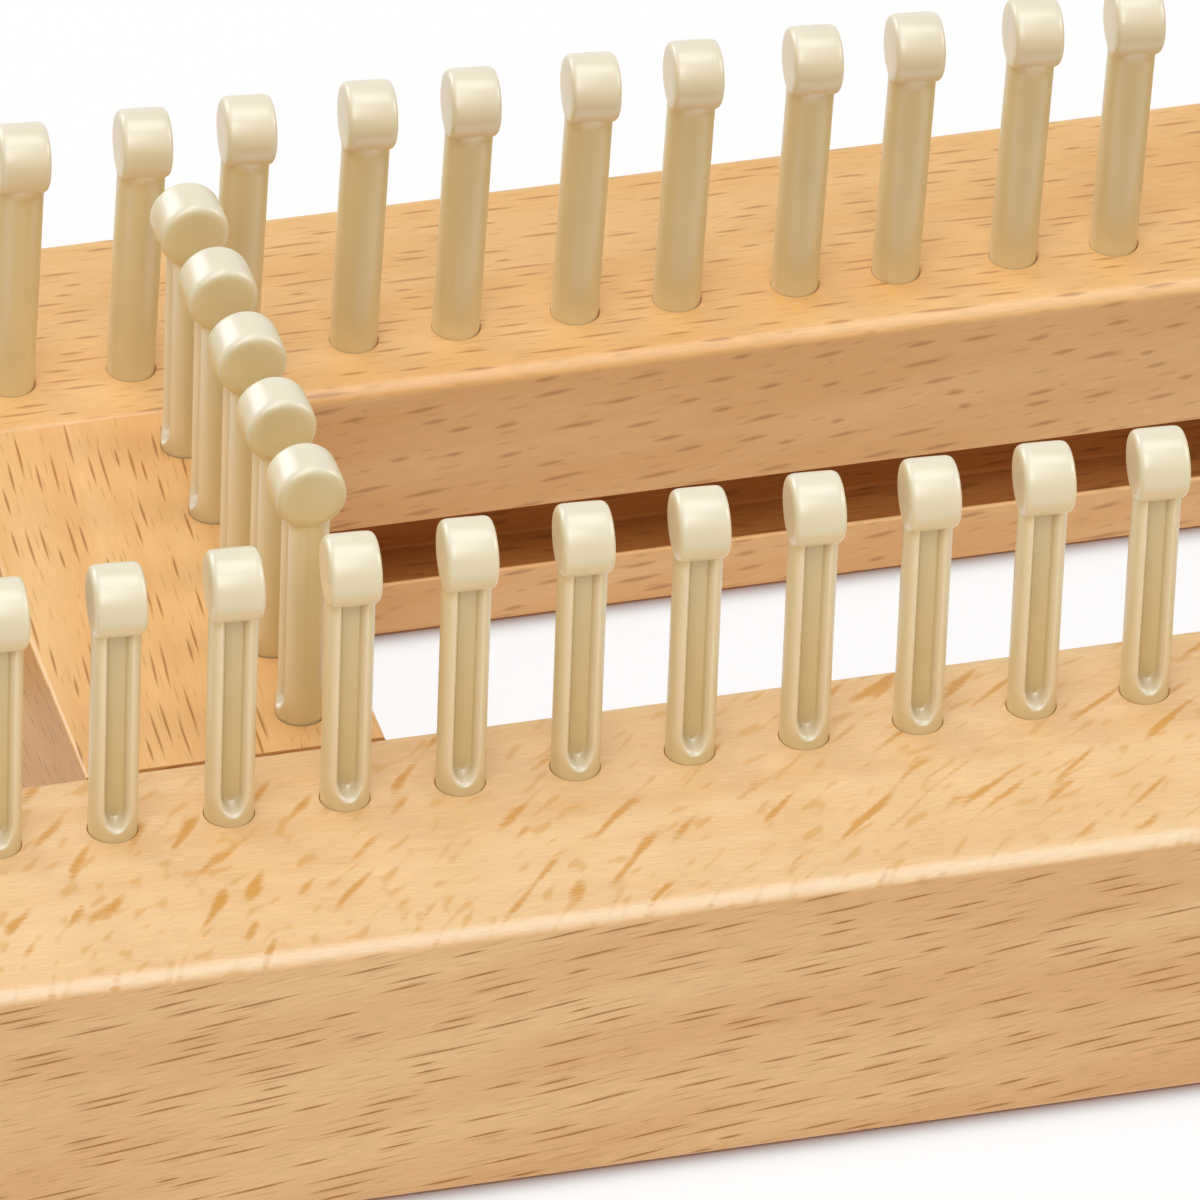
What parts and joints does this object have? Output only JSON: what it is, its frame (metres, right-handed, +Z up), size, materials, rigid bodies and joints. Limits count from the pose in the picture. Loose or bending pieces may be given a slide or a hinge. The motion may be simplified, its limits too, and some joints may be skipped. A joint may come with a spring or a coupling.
{
  "type": "sock knitting loom",
  "caption": "Peg knitting loom for tubes: two grooved wooden rails with hooked pegs, a fixed end block, a sliding block that sets the number of pegs, and cross bolts with wing nuts.",
  "frame": {"origin": "middle of the whole loom's box, bolts included, at table level", "axes": "+X along the rails towards the fixed end block, +Y across to the rear rail and the wing nuts, +Z up out of the pegs' tops"},
  "size_m": [0.259, 0.1234, 0.0506],
  "materials": {
    "rail_wood": "planed and sanded beech, clear satin finish",
    "block_wood": "planed and sanded beech, grain across the loom, clear satin finish",
    "nylon": "moulded cream nylon, slight gloss",
    "zinc_steel": "bright zinc-plated steel"
  },
  "bodies": {
    "loom_frame": {"front_rail": "rail_wood", "rear_rail": "rail_wood", "end_block": "block_wood", "front_rail_pegs": "nylon", "rear_rail_pegs": "nylon", "end_peg_1": "nylon", "end_peg_2": "nylon", "end_peg_3": "nylon", "end_peg_4": "nylon", "end_peg_5": "nylon", "left_bolt": "zinc_steel", "right_bolt": "zinc_steel"},
    "slider": {"slider_block": "block_wood", "slider_peg_1": "nylon", "slider_peg_2": "nylon", "slider_peg_3": "nylon", "slider_peg_4": "nylon", "slider_peg_5": "nylon"},
    "left_washer": {"left_washer": "zinc_steel"},
    "right_washer": {"right_washer": "zinc_steel"},
    "left_wing_nut": {"left_wing_nut": "zinc_steel"},
    "right_wing_nut": {"right_wing_nut": "zinc_steel"}
  },
  "joints": [
    {"name": "slider_slide", "type": "slide", "parent": "loom_frame", "child": "slider", "axis": [1, 0, 0], "range_m": [-0.0253, 0.1698]},
    {"name": "left_clamp_travel", "type": "slide", "parent": "loom_frame", "child": "left_washer", "axis": [0, 1, 0], "range_m": [0, 0.0032]},
    {"name": "left_wing_nut_turn", "type": "hinge", "parent": "left_washer", "child": "left_wing_nut", "pos_m": [-0.11954, 0.05, 0.0165], "axis": [0, 1, 0], "range_deg": [-10, 1450]},
    {"name": "right_clamp_travel", "type": "slide", "parent": "loom_frame", "child": "right_washer", "axis": [0, 1, 0], "range_m": [0, 0.0032]},
    {"name": "right_wing_nut_turn", "type": "hinge", "parent": "right_washer", "child": "right_wing_nut", "pos_m": [0.11954, 0.05, 0.0165], "axis": [0, 1, 0], "range_deg": [-10, 1450]}
  ],
  "couplings": [
    {"joint": "left_wing_nut_turn", "follows": "left_clamp_travel", "rad_per_m": 7854},
    {"joint": "right_wing_nut_turn", "follows": "right_clamp_travel", "rad_per_m": 7854}
  ]
}
